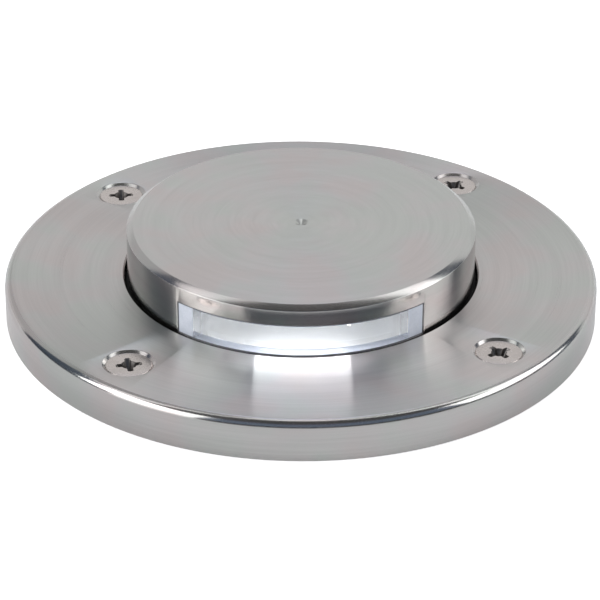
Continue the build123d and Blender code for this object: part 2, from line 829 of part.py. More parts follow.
def make_gland_body():
    thread_top = well_floor_top + gland_locknut_height + gland_thread_end
    body = disc(gland_thread_radius, gland_washer_bottom, thread_top)
    body += hexagon(gland_hex_radius, gland_hex_bottom, gland_washer_bottom)
    body += disc(gland_collar_radius, gland_collar_bottom, gland_hex_bottom)
    body -= disc(gland_bore_radius, gland_collar_bottom - MARGIN, thread_top + MARGIN)
    seal_space_top = gland_seal_top + gland_seal_gap
    body -= disc(gland_seal_radius + gland_seal_gap, gland_collar_bottom - MARGIN, seal_space_top)
    return at_gland(body)


def make_gland_washer():
    outer = gland_across_flats / 2 - gland_nut_gap
    inner = gland_thread_radius + gland_hole_gap
    return at_gland(ring(inner, outer, gland_washer_bottom, well_floor_bottom))


def make_gland_locknut():
    top = well_floor_top + gland_locknut_height
    nut = hexagon(gland_hex_radius, well_floor_top, top)
    nut -= disc(gland_thread_radius + gland_nut_thread_gap, well_floor_top - MARGIN, top + MARGIN)
    return at_gland(nut)


def make_gland_seal():
    bottom = gland_seal_top - gland_seal_length
    return at_gland(ring(gland_seal_bore_radius, gland_seal_radius, bottom, gland_seal_top))


def make_gland_nut():
    hex_bottom = gland_nut_top - gland_nut_hex_height
    flats = gland_across_flats / 2
    dome = turned([
        (0, hex_bottom),
        (flats, hex_bottom),
        (gland_nut_dome_radius, hex_bottom - gland_nut_dome_shoulder),
        (gland_nut_tip_radius, gland_nut_bottom),
        (0, gland_nut_bottom),
    ])
    nut = hexagon(gland_hex_radius, hex_bottom, gland_nut_top) + dome
    thread_bottom = gland_collar_bottom - gland_nut_gap
    nut -= disc(gland_collar_radius + gland_nut_thread_gap, thread_bottom, gland_nut_top + MARGIN)
    nut -= disc(gland_nut_mouth_radius, gland_nut_bottom - MARGIN, gland_nut_top)
    return at_gland(nut)


# ---------------------------------------------------------------- nodes and their files
nodes = {
    "head_cap": make_head_cap(),
    "window_lens": make_window_lens(),
    "window_seal": make_window_seal(),
    "cap_oring": make_cap_oring(),
    "cap_reflector": make_cap_reflector(),
    "reflector_screws": make_reflector_screws(),
    "trim_ring": make_trim_ring(),
    "cap_retainer": make_cap_retainer(),
    "retainer_screws": make_retainer_screws(),
    "ring_gasket": make_ring_gasket(),
    "well_housing": make_well_housing(),
    "threaded_inserts": make_threaded_inserts(),
    "led_carrier": make_led_carrier(),
    "carrier_screws": make_carrier_screws(),
    "thermal_pad": board_layer(pedestal_top, board_bottom),
    "led_board": board_layer(board_bottom, board_top),
    "board_screws": make_board_screws(),
    "led_emitter": make_led_emitter(),
    "led_optic": make_led_optic(),
    "board_connector": make_board_connector(),
    "deck_reflector": make_deck_reflector(),
    "lead_grommet": make_lead_grommet(),
    "driver_case": make_driver_case(),
    "driver_potting": make_driver_potting(),
    "driver_screws": make_driver_screws(),
    "terminal_block": make_terminal_block(),
    "clamp_screws": make_clamp_screws(),
    "block_screws": make_block_screws(),
    "supply_lead_line": make_supply_lead(0),
    "supply_lead_return": make_supply_lead(1),
    "led_lead_plus": make_led_lead(1),
    "led_lead_minus": make_led_lead(-1),
    "gland_body": make_gland_body(),
    "gland_washer": make_gland_washer(),
    "gland_locknut": make_gland_locknut(),
    "gland_seal": make_gland_seal(),
    "gland_nut": make_gland_nut(),
}
for index, name in enumerate(screw_names):
    nodes["ring_screw_" + name] = make_ring_screw(index)

os.makedirs("parts", exist_ok=True)
for name, piece in nodes.items():
    shape = Compound(children=piece) if isinstance(piece, list) else piece
    export_step(shape, f"parts/{name}.step")
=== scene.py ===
import json
import logging
import math
from collections.abc import Callable
from dataclasses import dataclass
from enum import Enum

import bpy
from mathutils import Matrix, Vector


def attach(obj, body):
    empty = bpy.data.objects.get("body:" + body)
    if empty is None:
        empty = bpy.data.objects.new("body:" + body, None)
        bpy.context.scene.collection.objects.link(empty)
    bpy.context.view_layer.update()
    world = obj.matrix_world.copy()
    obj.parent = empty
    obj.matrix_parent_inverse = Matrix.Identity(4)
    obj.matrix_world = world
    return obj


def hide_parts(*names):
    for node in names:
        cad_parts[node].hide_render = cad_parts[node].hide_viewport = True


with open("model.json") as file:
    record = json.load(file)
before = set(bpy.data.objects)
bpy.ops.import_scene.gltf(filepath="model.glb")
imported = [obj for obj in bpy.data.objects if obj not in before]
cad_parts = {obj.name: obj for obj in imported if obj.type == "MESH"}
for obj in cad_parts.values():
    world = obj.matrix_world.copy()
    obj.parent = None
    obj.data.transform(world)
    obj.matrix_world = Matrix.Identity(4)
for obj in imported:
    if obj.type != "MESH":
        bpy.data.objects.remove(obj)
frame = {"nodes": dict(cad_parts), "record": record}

log = logging.getLogger("well_light")

MM = 0.001  # sizes are written in millimetres and modelled in metres
TURN_STEPS = 256  # sides of the large turned pieces
WELD = 0.0005  # points nearer than this become one
SAME_SPOT = 0.0001  # how near a point lies to the corner that it was drawn at
PAST = 1.0  # how far a cutter reaches out of the metal
TOP_DEPTH = 0.1  # a face whose middle is no deeper than this belongs to the flat top
FLAT = 0.99  # upward share of the normal of a flat top

Pair = tuple[float, float]
Corner = tuple[float, float, float]
Colour = tuple[float, float, float, float]
WHITE: Colour = (1.0, 1.0, 1.0, 1.0)


# --------------------------------------------------------------------------------------------- colours, nodes
def linear(code: str) -> Colour:
    """Turn an sRGB hex colour into the linear values that a socket takes.

    Args:
        code: Six hex digits.

    Returns:
        Linear red, green and blue, and an alpha of 1.
    """
    shares = [int(code[i : i + 2], 16) / 255 for i in (0, 2, 4)]
    red, green, blue = (s / 12.92 if s <= 0.04045 else ((s + 0.055) / 1.055) ** 2.4 for s in shares)
    return red, green, blue, 1.0


def add_node(
    tree: bpy.types.NodeTree,
    kind: str,
    inputs: dict[int | str, object] | None = None,
    output: int | str = 0,
    **settings: object,
) -> bpy.types.NodeSocket | None:
    """Add a node with its settings and links.

    Args:
        tree: Node tree that gets the node.
        kind: Blender's name for the kind of node.
        inputs: Value, or output socket to link, for each input.
        output: Which output is handed back.
        settings: Properties of the node.

    Returns:
        The output socket, or None for a node that has none.
    """
    node = tree.nodes.new(kind)
    for key, value in settings.items():
        setattr(node, key, value)
    for key, value in (inputs or {}).items():
        if isinstance(value, bpy.types.NodeSocket):
            tree.links.new(value, node.inputs[key])
        else:
            node.inputs[key].default_value = value
    return node.outputs[output] if node.outputs else None


@dataclass(frozen=True)
class Finish:
    """A finish by its maker's name."""

    name: str

    def empty_tree(self) -> tuple[bpy.types.Material, bpy.types.NodeTree]:
        """Make a material of this name.

        Returns:
            The material and its empty node tree.
        """
        material = bpy.data.materials.new(self.name)
        material.use_nodes = True
        material.node_tree.nodes.clear()
        return material, material.node_tree


# --------------------------------------------------------------------------------------------------- finishes
@dataclass(frozen=True)
class TurnedSteel(Finish):
    """Stainless steel faced and turned on a lathe: fine rings that stretch each reflection across them."""

    colour: str = "c2c0bf"
    warm: str = "c4bebd"
    cool: str = "bfc1be"
    cool_until: float = 0.38
    warm_from: float = 0.62
    roughness: float = 0.27
    roughness_spread: float = 0.05
    anisotropy: float = 1.0
    stretch_turn: float = 0.25  # a quarter turn: reflections stretch across the rings, not along them
    feed_mm: float = 0.4  # a real feed is nearer 0.1 mm, drawn coarser so that it shows
    feed_height_mm: float = 0.0012
    band_mm: float = 2.6
    ring_detail: float = 3.0
    ring_contrast: float = 0.6
    lap_streaks: float = 1.4  # how fast a ring's shade changes round the axis
    shade_spread: float = 0.14
    patch_mm: float = 16.0
    patch_detail: float = 2.0
    nick_mm: float = 1.6
    nick_detail: float = 1.0
    nick_floor: float = 0.16
    nick_rim: float = 0.24
    nick_depth_mm: float = 0.02
    nick_strength: float = 0.6

    def make(self) -> bpy.types.Material:
        """Build the material.

        Returns:
            The material.
        """
        material, tree = self.empty_tree()
        place = add_node(tree, "ShaderNodeTexCoord", output="Object")
        # The way along the section, out over the flats and up the walls, and the way round the axis.
        flat = add_node(tree, "ShaderNodeVectorMath", {0: place, 1: (1, 1, 0)}, operation="MULTIPLY")
        reach = add_node(tree, "ShaderNodeVectorMath", {0: flat}, "Value", operation="LENGTH")
        level = add_node(tree, "ShaderNodeSeparateXYZ", {0: place}, "Z")
        along = add_node(tree, "ShaderNodeMath", {0: reach, 1: level}, operation="ADD")
        heading = add_node(tree, "ShaderNodeVectorMath", {0: flat}, operation="NORMALIZE")
        lap_inputs = {0: heading, "Scale": self.lap_streaks}
        lap = add_node(tree, "ShaderNodeVectorMath", lap_inputs, operation="SCALE")
        turn = add_node(tree, "ShaderNodeSeparateXYZ", {0: lap}).node
        # Two sets of rings, the tool's feed and broader bands, whose shade drifts on its way round.
        rings = []
        for size in (self.feed_mm, self.band_mm):
            step = add_node(tree, "ShaderNodeMath", {0: along, 1: 1 / (size * MM)}, operation="MULTIPLY")
            spot = add_node(tree, "ShaderNodeCombineXYZ", {0: turn.outputs[0], 1: turn.outputs[1], 2: step})
            ring_inputs = {"Vector": spot, "Scale": 1.0, "Detail": self.ring_detail}
            ring_inputs["Roughness"] = self.ring_contrast
            rings.append(add_node(tree, "ShaderNodeTexNoise", ring_inputs, "Fac"))
        feed, band = rings
        both = add_node(tree, "ShaderNodeMath", {0: feed, 1: band}, operation="ADD")
        # Broad patches of warmer and cooler grey, darkened and lightened by the rings.
        patch_scale = 1 / (self.patch_mm * MM)
        patch_inputs = {"Vector": place, "Scale": patch_scale, "Detail": self.patch_detail}
        patches = add_node(tree, "ShaderNodeTexNoise", patch_inputs, "Fac")
        tint = add_node(tree, "ShaderNodeValToRGB", {"Fac": patches})
        ramp = tint.node.color_ramp
        ramp.elements[0].position, ramp.elements[0].color = self.cool_until, linear(self.cool)
        ramp.elements[1].position, ramp.elements[1].color = self.warm_from, linear(self.warm)
        ramp.elements.new(0.5).color = linear(self.colour)
        shade_inputs = {0: both, 1: self.shade_spread, 2: 1 - self.shade_spread}
        shade = add_node(tree, "ShaderNodeMath", shade_inputs, operation="MULTIPLY_ADD")
        colour = add_node(tree, "ShaderNodeVectorMath", {0: tint, "Scale": shade}, operation="SCALE")
        rough_inputs = {0: both, 1: self.roughness_spread, 2: self.roughness - self.roughness_spread}
        rough = add_node(tree, "ShaderNodeMath", rough_inputs, operation="MULTIPLY_ADD")
        # The feed's ridges and a few shallow nicks catch the light.
        nick_inputs = {"Vector": place, "Scale": 1 / (self.nick_mm * MM), "Detail": self.nick_detail}
        nicks = add_node(tree, "ShaderNodeTexNoise", nick_inputs, "Fac")
        nick_ramp = {"Value": nicks, "From Min": self.nick_floor, "From Max": self.nick_rim}
        smooth = add_node(tree, "ShaderNodeMapRange", {**nick_ramp, "To Min": 0.0, "To Max": 1.0})
        feed_inputs = {"Height": feed, "Distance": self.feed_height_mm * MM, "Strength": 1.0}
        bump_inputs = {"Height": smooth, "Distance": self.nick_depth_mm * MM, "Strength": self.nick_strength}
        bump_inputs["Normal"] = add_node(tree, "ShaderNodeBump", feed_inputs)
        bump = add_node(tree, "ShaderNodeBump", bump_inputs)
        # The tangent runs round the axis, along the rings.
        around = add_node(tree, "ShaderNodeVectorMath", {0: (0, 0, 1), 1: heading}, operation="CROSS_PRODUCT")
        spaces = {"vector_type": "VECTOR", "convert_from": "OBJECT", "convert_to": "WORLD"}
        tangent = add_node(tree, "ShaderNodeVectorTransform", {0: around}, **spaces)
        surface = add_node(
            tree,
            "ShaderNodeBsdfPrincipled",
            {
                "Base Color": colour,
                "Metallic": 1.0,
                "Roughness": rough,
                "Anisotropic": self.anisotropy,
                "Anisotropic Rotation": self.stretch_turn,
                "Tangent": tangent,
                "Normal": bump,
            },
        )
        add_node(tree, "ShaderNodeOutputMaterial", {"Surface": surface})
        return material


@dataclass(frozen=True)
class GrainedFinish(Finish):
    """A finish whose colour, gloss and height follow a fine grain and a broad cloud."""

    colour: str
    shade: str
    metallic: float = 0.0
    roughness: float = 0.5
    roughness_spread: float = 0.08
    grain_mm: float = 0.6
    cloud_mm: float = 12.0
    grain_height_mm: float = 0.01
    detail: float = 3.0
    grain_share: float = 0.4  # how much of the pattern is grain, the rest is cloud
    shade_until: float = 0.35
    colour_from: float = 0.65
    coat: float = 0.0
    # painted light: an emission in the finish's own colour, for a part that is no lamp
    glow: float = 0.0

    def make(self) -> bpy.types.Material:
        """Build the material.

        Returns:
            The material.
        """
        material, tree = self.empty_tree()
        place = add_node(tree, "ShaderNodeTexCoord", output="Object")
        grain_inputs = {"Vector": place, "Scale": 1 / (self.grain_mm * MM), "Detail": self.detail}
        grain = add_node(tree, "ShaderNodeTexNoise", grain_inputs, "Fac")
        cloud_inputs = {"Vector": place, "Scale": 1 / (self.cloud_mm * MM), "Detail": self.detail}
        cloud = add_node(tree, "ShaderNodeTexNoise", cloud_inputs, "Fac")
        blend = add_node(tree, "ShaderNodeMix", {0: self.grain_share, 2: cloud, 3: grain})
        tint = add_node(tree, "ShaderNodeValToRGB", {"Fac": blend})
        ramp = tint.node.color_ramp
        ramp.elements[0].position, ramp.elements[0].color = self.shade_until, linear(self.shade)
        ramp.elements[1].position, ramp.elements[1].color = self.colour_from, linear(self.colour)
        rough_inputs = {0: blend, 1: 2 * self.roughness_spread, 2: self.roughness - self.roughness_spread}
        rough = add_node(tree, "ShaderNodeMath", rough_inputs, operation="MULTIPLY_ADD")
        bump_inputs = {"Height": grain, "Distance": self.grain_height_mm * MM, "Strength": 1.0}
        bump = add_node(tree, "ShaderNodeBump", bump_inputs)
        # The emission that glow sets is painted light.
        surface = add_node(
            tree,
            "ShaderNodeBsdfPrincipled",
            {
                "Base Color": tint,
                "Metallic": self.metallic,
                "Roughness": rough,
                "Coat Weight": self.coat,
                "Emission Color": linear(self.colour),
                "Emission Strength": self.glow,
                "Normal": bump,
            },
        )
        add_node(tree, "ShaderNodeOutputMaterial", {"Surface": surface})
        return material


@dataclass(frozen=True)
class ClearMoulding(Finish):
    """Clear moulded plastic that lets lamps through to what lies behind it."""

    colour: str = "f3f6fa"
    roughness: float = 0.03
    ior: float = 1.49
    ripple_mm: float = 3.0
    ripple_height_mm: float = 0.01
    ripple_detail: float = 1.0

    def make(self) -> bpy.types.Material:
        """Build the material.

        Returns:
            The material.
        """
        material, tree = self.empty_tree()
        place = add_node(tree, "ShaderNodeTexCoord", output="Object")
        ripple_scale = 1 / (self.ripple_mm * MM)
        ripple_inputs = {"Vector": place, "Scale": ripple_scale, "Detail": self.ripple_detail}
        ripple = add_node(tree, "ShaderNodeTexNoise", ripple_inputs, "Fac")
        bump_inputs = {"Height": ripple, "Distance": self.ripple_height_mm * MM, "Strength": 1.0}
        bump = add_node(tree, "ShaderNodeBump", bump_inputs)
        glass_inputs = {
            "Base Color": linear(self.colour),
            "Roughness": self.roughness,
            "IOR": self.ior,
            "Transmission Weight": 1.0,
            "Normal": bump,
        }
        glass = add_node(tree, "ShaderNodeBsdfPrincipled", glass_inputs)
        clear = add_node(tree, "ShaderNodeBsdfTransparent", {"Color": linear(self.colour)})
        shadow = add_node(tree, "ShaderNodeLightPath", output="Is Shadow Ray")
        surface = add_node(tree, "ShaderNodeMixShader", {0: shadow, 1: glass, 2: clear})
        add_node(tree, "ShaderNodeOutputMaterial", {"Surface": surface})
        return material


class Slot(Enum):
    """Material slots of the record."""

    STAINLESS = "stainless_turned"
    SCREW = "stainless_screw"
    LENS = "clear_lens"
    OPTIC = "clear_optic"
    SILICONE = "silicone_seal"
    RUBBER = "black_rubber"
    REFLECTOR = "bright_reflector"
    WELL = "well_plastic"
    BRASS = "insert_brass"
    CARRIER = "carrier_aluminium"
    BOARD = "board_white"
    PAD = "pad_grey"
    PHOSPHOR = "led_phosphor"
    WHITE = "white_plastic"
    DRIVER = "driver_plastic"
    RESIN = "potting_resin"
    ZINC = "zinc_screw"
    RED = "lead_red"
    BLACK = "lead_black"
    GLAND = "gland_plastic"


FINISHES: dict[Slot, TurnedSteel | GrainedFinish | ClearMoulding] = {
    # Stainless steel, turned: grey metal whose rings pull each reflection out across them.
    Slot.STAINLESS: TurnedSteel(
        "stainless steel turned", roughness=0.17, anisotropy=0.7, feed_height_mm=0.0009, shade_spread=0.2,
    ),
    # Stainless steel, cold headed and passivated: smoother and a little pinker than the turned face.
    Slot.SCREW: GrainedFinish(
        "stainless steel cold headed", "cfc7c3", "c0b9b5", metallic=1.0, roughness=0.27,
        roughness_spread=0.06, grain_mm=0.4, cloud_mm=4.0, grain_height_mm=0.002,
    ),
    # Polycarbonate, clear moulded: glassy, with a faint ripple.
    Slot.LENS: ClearMoulding("polycarbonate clear", ior=1.58),
    # Acrylic, clear moulded: clearer and smoother than the window.
    Slot.OPTIC: ClearMoulding("acrylic clear", "fafcff", roughness=0.01),
    # Silicone, moulded: grey, with a dull skin.
    Slot.SILICONE: GrainedFinish("silicone grey", "83858a", "74767b", roughness=0.55),
    # EPDM rubber, moulded: near black and matt.
    Slot.RUBBER: GrainedFinish(
        "rubber black", "1d1d1e", "141415", roughness=0.7, grain_mm=0.5, cloud_mm=10.0,
        grain_height_mm=0.02,
    ),
    # Aluminium, vapour coated on plastic: a mirror with a slight haze.
    Slot.REFLECTOR: GrainedFinish(
        "aluminium vapour coat", "f2f2f4", "e8e9ee", metallic=1.0, roughness=0.16, roughness_spread=0.04,
        grain_mm=1.0, cloud_mm=10.0, grain_height_mm=0.001,
    ),
    # Nylon, glass filled: charcoal, moulded against an etched tool.
    Slot.WELL: GrainedFinish(
        "nylon moulded black", "2c2d2f", "212223", roughness=0.52, grain_mm=0.7, cloud_mm=20.0,
        grain_height_mm=0.03,
    ),
    # Brass, turned: yellow bar metal.
    Slot.BRASS: GrainedFinish(
        "brass turned", "d6b066", "c29a50", metallic=1.0, roughness=0.3, roughness_spread=0.06,
        grain_mm=0.3, cloud_mm=5.0, grain_height_mm=0.003,
    ),
    # Aluminium, turned: a duller, whiter metal than the steel.
    Slot.CARRIER: GrainedFinish(
        "aluminium turned", "d4d5d6", "c4c5c7", metallic=1.0, roughness=0.38, roughness_spread=0.06,
        grain_mm=0.3, cloud_mm=10.0, grain_height_mm=0.004,
    ),
    # Solder mask, white lacquer.
    Slot.BOARD: GrainedFinish(
        "solder mask white", "efefec", "e4e5e2", roughness=0.35, roughness_spread=0.05, grain_mm=0.5,
        cloud_mm=6.0, grain_height_mm=0.004,
    ),
    # Silicone pad, filled: soft blue grey.
    Slot.PAD: GrainedFinish("silicone pad blue", "8d95a0", "7c848f", roughness=0.7),
    # Phosphor in clear silicone: glossy yellow dome.
    Slot.PHOSPHOR: GrainedFinish(
        "phosphor yellow", "f2d060", "e2bc48", roughness=0.2, roughness_spread=0.05, grain_mm=0.2,
        cloud_mm=2.0, grain_height_mm=0.002,
    ),
    # Polycarbonate, white moulded: dense, with a soft gloss.
    Slot.WHITE: GrainedFinish(
        "polycarbonate white", "f4f4f2", "ecedec", roughness=0.4, roughness_spread=0.06, cloud_mm=10.0,
        grain_height_mm=0.006,
    ),
    # Polycarbonate, black moulded: a finer grain than the well's.
    Slot.DRIVER: GrainedFinish(
        "polycarbonate black", "242527", "1a1b1c", roughness=0.45, roughness_spread=0.06, grain_mm=0.5,
    ),
    # Polyurethane, cast: a glossy skin that crept up the wall.
    Slot.RESIN: GrainedFinish(
        "polyurethane cast", "2b2926", "211f1d", roughness=0.18, roughness_spread=0.05, grain_mm=2.0,
        cloud_mm=9.0, grain_height_mm=0.02, coat=0.3,
    ),
    # Steel, zinc plated: bright and bluish.
    Slot.ZINC: GrainedFinish(
        "steel zinc plated", "cfd0d0", "b9bbbd", metallic=1.0, roughness=0.33, roughness_spread=0.06,
        grain_mm=0.3, cloud_mm=3.0, grain_height_mm=0.003,
    ),
    # Silicone insulation, extruded: soft gloss.
    Slot.RED: GrainedFinish(
        "silicone insulation red", "b01e1a", "9a1714", roughness=0.38, roughness_spread=0.05,
        grain_mm=0.5, cloud_mm=5.0, grain_height_mm=0.003,
    ),
    Slot.BLACK: GrainedFinish(
        "silicone insulation black", "1b1b1d", "131315", roughness=0.38, roughness_spread=0.05,
        grain_mm=0.5, cloud_mm=5.0, grain_height_mm=0.003,
    ),
    # Nylon, moulded: slightly glossier than the well.
    Slot.GLAND: GrainedFinish(
        "nylon gland black", "26272a", "1b1c1e", roughness=0.4, roughness_spread=0.06, cloud_mm=15.0,
        grain_height_mm=0.015,
    ),
}

# Stainless steel, faced: the tool's spiral stretches each reflection towards the middle and out again.
RING_FACE = TurnedSteel("stainless steel faced", roughness=0.29, shade_spread=0.19)
CAP_FACE = TurnedSteel(
    "stainless steel fine faced", roughness=0.24, anisotropy=0.8, feed_height_mm=0.0008, shade_spread=0.12,
)
# Stainless steel in the screw's recess: a darker grey that is painted shade, where little light reaches the
# bottom, and a duller gloss.
PAINTED_RECESS_SHADE = GrainedFinish(
    "stainless steel painted recess shade", "94908d", "6f6b69", metallic=1.0, roughness=0.45, grain_mm=0.3,
    cloud_mm=1.5,
)
# Polycarbonate, ground: a milky, bluish grey where the saw and the paper left it. The weak glow is painted
# light, an emission that stands in for the light that the window leads to its ends.
GROUND_LENS = GrainedFinish(
    "polycarbonate ground", "d5dae4", "c3c9d4", roughness=0.45, roughness_spread=0.1, grain_mm=0.35,
    cloud_mm=2.5, grain_height_mm=0.02, glow=0.24,
)


# ------------------------------------------------------------------------------------------ work at the bench
def deselect() -> None:
    """Leave edit mode and select nothing."""
    if bpy.context.object and bpy.context.object.mode != "OBJECT":
        bpy.ops.object.mode_set(mode="OBJECT")
    bpy.ops.object.select_all(action="DESELECT")


def activate(piece: bpy.types.Object) -> None:
    """Select one piece alone and make it the active one.

    Args:
        piece: Piece to work on.
    """
    deselect()
    piece.select_set(True)
    bpy.context.view_layer.objects.active = piece


class Pick(Enum):
    """What is selected in edit mode."""

    POINTS = "VERT"
    EDGES = "EDGE"


def pick_all(piece: bpy.types.Object) -> None:
    """Go into edit mode with the whole piece selected.

    Args:
        piece: Piece to work on.
    """
    activate(piece)
    bpy.ops.object.mode_set(mode="EDIT")
    bpy.ops.mesh.select_all(action="SELECT")


def pick_none(piece: bpy.types.Object, kind: Pick) -> None:
    """Leave edit mode with nothing of the piece selected.

    Args:
        piece: Piece to work on.
        kind: What is selected next.
    """
    activate(piece)
    bpy.ops.object.mode_set(mode="EDIT")
    bpy.ops.mesh.select_mode(type=kind.value)
    bpy.ops.mesh.select_all(action="DESELECT")
    bpy.ops.object.mode_set(mode="OBJECT")


def pick_points(piece: bpy.types.Object, wanted: Callable[[Vector], bool]) -> None:
    """Go into edit mode with the points that answer a test selected.

    Args:
        piece: Piece to work on.
        wanted: Test of a point's place in millimetres.
    """
    pick_none(piece, Pick.POINTS)
    for vertex in piece.data.vertices:
        vertex.select = wanted(vertex.co / MM)
    bpy.ops.object.mode_set(mode="EDIT")


def pick_edges(piece: bpy.types.Object, wanted: Callable[[Vector, Vector], bool]) -> None:
    """Go into edit mode with the edges that answer a test selected.

    Args:
        piece: Piece to work on.
        wanted: Test of the places of an edge's two ends in millimetres.
    """
    pick_none(piece, Pick.EDGES)
    points = piece.data.vertices
    for edge in piece.data.edges:
        edge.select = wanted(points[edge.vertices[0]].co / MM, points[edge.vertices[1]].co / MM)
    bpy.ops.object.mode_set(mode="EDIT")


def in_section(corner: Corner) -> Vector:
    """Place of a drawn corner in the XZ plane, in millimetres."""
    return Vector((corner[0], 0, corner[1]))


def draw(name: str, corners: list[Corner], closed: bool = True, segments: int = 4) -> bpy.types.Object:
    """Draw an outline in the XZ plane by extruding one point from corner to corner.

    Args:
        name: Name of the piece.
        corners: Radius, level and rounding of each corner, in millimetres.
        closed: True if the last corner joins the first.
        segments: Straight pieces in each rounding.

    Returns:
        The outline as a piece of edges.
    """
    deselect()
    bpy.ops.mesh.primitive_plane_add(size=MM, location=in_section(corners[0]) * MM)
    piece = bpy.context.object
    piece.name = name
    bpy.ops.object.transform_apply(location=True, rotation=True, scale=True)
    bpy.ops.object.mode_set(mode="EDIT")
    bpy.ops.mesh.select_mode(type="VERT")
    bpy.ops.mesh.select_all(action="SELECT")
    bpy.ops.mesh.merge(type="CENTER")
    for here, there in zip(corners, corners[1:]):
        step = Vector((there[0] - here[0], 0, there[1] - here[1])) * MM
        bpy.ops.mesh.extrude_region_move(TRANSFORM_OT_translate={"value": step})
    if closed:
        ends = [in_section(corners[0]), in_section(corners[-1])]
        pick_points(piece, lambda co: any((co - end).length < SAME_SPOT for end in ends))
        bpy.ops.mesh.edge_face_add()
    for i, corner in enumerate(corners):
        radius = corner[2]
        if radius == 0.0:
            continue
        here = in_section(corner)
        before = in_section(corners[i - 1]) - here
        after = in_section(corners[(i + 1) % len(corners)]) - here
        setback = radius / math.tan(before.angle(after) / 2)
        pick_points(piece, lambda co: (co - here).length < SAME_SPOT)
        bpy.ops.mesh.bevel(offset=setback * MM, segments=segments, affect="VERTICES", profile=0.5)
    deselect()
    return piece


def close_mesh(piece: bpy.types.Object) -> None:
    """Merge doubled points and turn every face outwards.

    Args:
        piece: Piece to work on.
    """
    pick_all(piece)
    bpy.ops.mesh.remove_doubles(threshold=WELD * MM)
    bpy.ops.mesh.normals_make_consistent(inside=False)
    bpy.ops.object.mode_set(mode="OBJECT")


def turn(piece: bpy.types.Object, steps: int = TURN_STEPS) -> bpy.types.Object:
    """Turn an outline all the way about the light's axis.

    Args:
        piece: The outline.
        steps: Sides of the turned piece.

    Returns:
        The same piece, closed.
    """
    pick_all(piece)
    bpy.ops.mesh.spin(steps=steps, angle=math.tau, center=(0, 0, 0), axis=(0, 0, 1))
    close_mesh(piece)
    return piece


def sweep(piece: bpy.types.Object, middle: float, half_angle: float, steps: int = 96) -> bpy.types.Object:
    """Turn a closed outline through part of a circle and keep both ends filled.

    Args:
        piece: The outline.
        middle: Heading of the sweep's middle, in degrees from +X.
        half_angle: Degrees to each side of the middle.
        steps: Sides along the sweep.

    Returns:
        The same piece, closed.
    """
    pick_all(piece)
    bpy.ops.mesh.edge_face_add()
    bpy.ops.object.mode_set(mode="OBJECT")
    piece.rotation_euler.z = math.radians(middle + half_angle)
    bpy.ops.object.transform_apply(location=False, rotation=True, scale=False)
    pick_all(piece)
    bpy.ops.mesh.spin(steps=steps, angle=math.radians(2 * half_angle), center=(0, 0, 0), axis=(0, 0, 1))
    close_mesh(piece)
    return piece


def cut(piece: bpy.types.Object, cutter: bpy.types.Object) -> None:
    """Take one piece out of another and remove the cutter.

    Args:
        piece: Piece that is cut.
        cutter: Piece that is taken out of it.
    """
    activate(piece)
    modifier = piece.modifiers.new("cut", "BOOLEAN")
    modifier.operation = "DIFFERENCE"
    modifier.solver = "EXACT"
    modifier.object = cutter
    bpy.ops.object.modifier_apply(modifier=modifier.name)
    bpy.data.objects.remove(cutter)


def copy_to(piece: bpy.types.Object, name: str, place: Matrix) -> bpy.types.Object:
    """Copy a piece with a mesh of its own, and put the copy's mesh in a new place.

    Args:
        piece: Piece that is copied.
        name: Name of the copy.
        place: Where the copy goes.

    Returns:
        The copy.
    """
    copy = piece.copy()
    copy.data = piece.data.copy()
    copy.name = name
    bpy.context.scene.collection.objects.link(copy)
    activate(copy)
    copy.matrix_world = place
    bpy.ops.object.transform_apply(location=True, rotation=True, scale=True)
    return copy


def about_axis(reach: float, heading: float, spin: float = 0.0) -> Matrix:
    """Find a place about the light's axis.

    Args:
        reach: Distance from the axis in millimetres.
        heading: Heading in degrees from +X.
        spin: Degrees by which the place itself is turned.

    Returns:
        The place.
    """
    angle = math.radians(heading)
    spot = Vector((reach * math.cos(angle), reach * math.sin(angle), 0)) * MM
    return Matrix.Translation(spot) @ Matrix.Rotation(math.radians(spin), 4, "Z")


def finish(
    piece: bpy.types.Object,
    body: str,
    materials: list[bpy.types.Material],
    nodes: tuple[str, ...] = (),
    sharp_angle: float = 28.0,
) -> None:
    """Smooth a piece, dress it and fix it to its body.

    Args:
        piece: The modelled piece.
        body: Body that it rides on.
        materials: Materials, in the order of the piece's own slots.
        nodes: CAD nodes that it stands for.
        sharp_angle: Angle in degrees from which an edge stays sharp.
    """
    activate(piece)
    bpy.ops.object.shade_smooth_by_angle(angle=math.radians(sharp_angle))
    piece.data.materials.clear()
    for material in materials:
        piece.data.materials.append(material)
    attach(piece, body)
    if nodes:
        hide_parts(*nodes)
    log.info("%s rides on %s, %d faces", piece.name, body, len(piece.data.polygons))


def dress_faces(piece: bpy.types.Object, index: int, wanted: Callable[[Vector, Vector], bool]) -> None:
    """Give the faces that answer a test another of the piece's materials.

    Args:
        piece: Finished piece.
        index: Place of the material in the piece's slots.
        wanted: Test of a face's middle in millimetres and its normal.
    """
    for polygon in piece.data.polygons:
        if wanted(polygon.center / MM, polygon.normal):
            polygon.material_index = index


def flat_at(level: float) -> Callable[[Vector, Vector], bool]:
    """Make the test of a face that lies flat at a level in millimetres, facing up."""
    return lambda middle, normal: normal.z > FLAT and middle.z > level - TOP_DEPTH


@dataclass
class SubAssembly:
    """A group of pieces, with the CAD nodes that keep their own meshes.

    Sizes are in millimetres and angles in degrees, here and in the groups below.
    """

    kept: tuple[str, ...] = ()

    def dress_kept(self, materials: dict[Slot, bpy.types.Material]) -> None:
        """Give each kept CAD node the finish of its slot.

        Args:
            materials: Material of each slot.
        """
        slots = {row["node"]: row["material_slot"] for row in frame["record"]["subparts"]}
        for name in self.kept:
            mesh = frame["nodes"][name].data
            mesh.materials.clear()
            mesh.materials.append(materials[Slot(slots[name])])
            log.info("%s keeps its CAD mesh", name)


